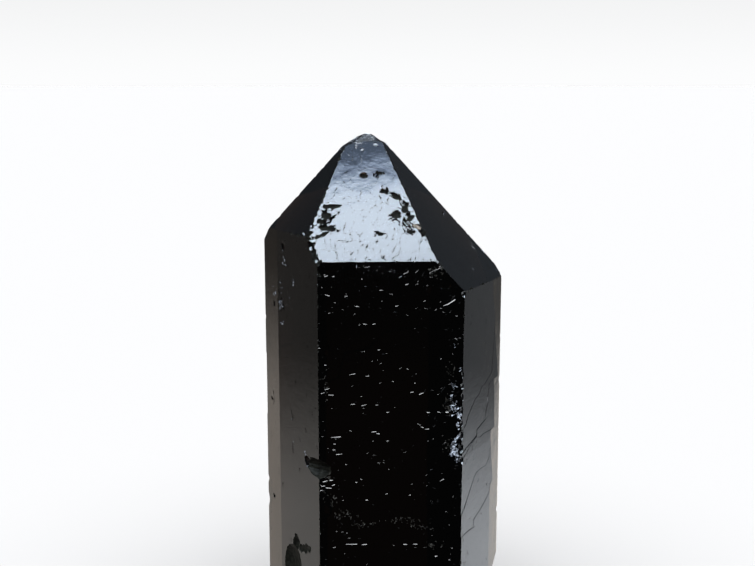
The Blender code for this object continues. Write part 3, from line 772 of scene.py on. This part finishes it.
def cut_nicks(crystal, growth, broken):
    """Nibble every edge."""
    cutter = Cutter("nicks", broken, 8)
    for place in growth.edges(NICK_SPACING):
        front = place.col[2].y < -0.3 and abs(place.col[2].x) > 0.2 and place.col[2].z > 0.5
        if cutter.chance.random() > (FRONT_NICK_CHANCE if front else NICK_CHANCE):
            continue
        shift = Matrix.Translation((0, cutter.chance.uniform(-0.2, 0.2) * MM, -0.015 * MM))
        size = 0.12 + 0.36 * cutter.chance.random() ** 3
        cutter.scoop(place @ shift, size * 1.2, size * cutter.chance.uniform(0.8, 1.8), size * 0.22)
    cutter.cut(crystal)


def cut_bruises(crystal, growth, frost, haze):
    """Crushed splinters at the right edge of the front face and on the left face, and dim ones."""
    cutter = Cutter("haze", haze, 16)
    splinters(cutter, growth, DULL_PATCHES)
    cutter.cut(crystal)
    cutter = Cutter("bruises", frost, 9)
    splinters(cutter, growth, BRUISES)
    splinters(cutter, growth, FROSTED_PATCHES, "left")
    cutter.cut(crystal)


def crush_tip(crystal, growth, glass):
    """Cover the worn tip with small shell-shaped chips."""
    cutter = Cutter("tip_chips", glass, 10)
    skin = BVHTree.FromObject(crystal, bpy.context.evaluated_depsgraph_get())
    middle = growth.apex + TIP_FROM_APEX
    for _ in range(TIP_CHIPS):
        turn, lean = cutter.chance.uniform(0, 360), cutter.chance.triangular(-5, 90, 60)
        way = facing(turn, lean)
        place, normal, _, _ = skin.ray_cast(middle + way * 10 * MM, -way)
        size = 0.16 + 0.5 * cutter.chance.random() ** 2
        frame = Matrix.Translation(place) @ normal.to_track_quat("Z", "Y").to_matrix().to_4x4()
        cutter.scoop(turned(frame, cutter.chance.uniform(0, 180)), size,
                     size * cutter.chance.uniform(0.5, 1.4), size * cutter.chance.uniform(0.14, 0.26))
    cutter.cut(crystal)


def termination_density(across, height):
    """How likely a pit is on a termination face: more so towards its foot."""
    return 1.0 - 0.085 * (height - 42)


def prism_density(towards_edges):
    """How likely a mark is on a prism face: more so towards its edges and at its upper end."""
    return lambda across, height: 0.15 + towards_edges * (across - 2.3) ** 2 + 0.4 * (height > 37)


def scatter(cutter, growth, face, count, heights, density, size):
    """Sink small pits into a face. The density says where, and the size gives each its shape."""
    chance = cutter.chance
    placed = 0
    while placed < count:
        across, height = chance.uniform(*FACE_REACH), chance.uniform(*heights)
        place = growth.frame(face, across, height)
        inner = place.translation - place.col[2].to_3d() * 0.05 * MM
        if not growth.holds(inner) or chance.random() > density(across, height):
            continue
        size(cutter, place)
        placed += 1


def slanted_pit(cutter, place):
    """A narrow etch pit of the termination faces: a scoop, or a dash with a sharp bottom."""
    chance = cutter.chance
    length = 0.14 + 0.5 * chance.random() ** 2.4
    width = chance.uniform(0.09, 0.17)
    if chance.random() < 0.5:
        cutter.scoop(turned(place, chance.gauss(-25, 9)), width, length, width * chance.uniform(0.35, 0.6))
    else:
        cutter.groove(turned(place, 90 + chance.gauss(-25, 14)), length, width * 0.45)


def level_dash(cutter, place):
    """A short dash of the prism faces, along the growth lines or a little askew."""
    length = 0.08 + 0.32 * cutter.chance.random() ** 2.6
    cutter.groove(turned(place, cutter.chance.gauss(8, 16)), length, cutter.chance.uniform(0.018, 0.050))


def small_dash(cutter, place):
    """A tiny dash of the front prism face, whose slope may miss the light."""
    chance = cutter.chance
    length = 0.05 + 0.24 * chance.random() ** 2.2
    cutter.groove(turned(place, chance.gauss(8, 22)), length, chance.uniform(0.010, 0.036),
                  DASH_WALL + chance.gauss(0, 16))


def side_scratch(cutter, place):
    """A faint upright scratch of the side faces, whose slope looks to the front."""
    chance = cutter.chance
    side = -1 if place.col[2].x < 0 else 1
    cutter.groove(turned(place, side * 90 + chance.gauss(0, 28)), 0.12 + 0.5 * chance.random() ** 2,
                  chance.uniform(0.03, 0.09))


def cut_pits(crystal, growth, glass):
    """The fine etch pits: dense at the foot of a termination face, sparse on the prism faces."""
    cutter = Cutter("pits", glass, 5)
    for face, upper, lower, mark in (("front", 270, 0, level_dash), ("left", 6, 120, side_scratch),
                                     ("right", 6, 90, side_scratch), ("back_left", 45, 90, level_dash),
                                     ("back_right", 45, 90, level_dash), ("back", 45, 90, level_dash)):
        scatter(cutter, growth, face, upper, TERMINATION_REACH, termination_density, slanted_pit)
        scatter(cutter, growth, face, lower, PRISM_REACH, prism_density(0.018), mark)
    cutter.cut(crystal)


def drop_crumbs(mesh):
    """Take away the crumbs that crossing cuts leave loose."""
    bm = bmesh.new()
    bm.from_mesh(mesh)
    waiting, pieces = set(bm.verts), []
    while waiting:
        piece, rim = set(), {waiting.pop()}
        while rim:
            piece |= rim
            waiting -= rim
            rim = {edge.other_vert(vert) for vert in rim for edge in vert.link_edges} - piece
        pieces.append(piece)
    crumbs = [vert for piece in sorted(pieces, key=len)[:-1] for vert in piece]
    bmesh.ops.delete(bm, geom=crumbs, context="VERTS")
    bm.to_mesh(mesh)
    bm.free()


def make_crystal():
    """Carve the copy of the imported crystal. The strips come first and the front hollows last."""
    bm = merged_copy(NODE)
    for face in bm.faces:
        face.smooth = False
    growth = Growth(bm)
    mesh = bpy.data.meshes.new("morion_point")
    bm.to_mesh(mesh)
    bm.free()
    mesh.attributes.remove(mesh.attributes["custom_normal"])
    crystal = bpy.data.objects.new("morion_point", mesh)
    bpy.context.scene.collection.objects.link(crystal)
    glass, broken, glint = morion_material(), broken_material(), glint_material()
    frost, haze = frost_material(), haze_material()
    for finish in (glass, broken, glint, frost, haze):
        mesh.materials.append(finish)
    cut_strips(crystal, growth, glass)
    cut_fractures(crystal, growth, glass, broken)
    cut_rough_hollows(crystal, growth, broken, "left", BROKEN_HOLLOW,
                      detail=4, dents=14, sizes=(0.25, 0.60))
    cut_marks(crystal, growth, glass)
    cut_pits(crystal, growth, glass)
    cut_dashes(crystal, growth, glint)
    cut_nicks(crystal, growth, broken)
    crush_tip(crystal, growth, glass)
    cut_corner_breaks(crystal, growth, broken)
    cut_bruises(crystal, growth, frost, haze)
    cut_rough_hollows(crystal, growth, broken, "front", ETCHED_HOLLOWS,
                      detail=2, dents=6, sizes=(0.12, 0.36))
    drop_crumbs(crystal.data)
    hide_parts(NODE)
    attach(crystal, "root")
    return growth


bpy.context.scene.view_settings.view_transform = "Standard"
make_world()
make_floor()
make_camera(make_crystal())
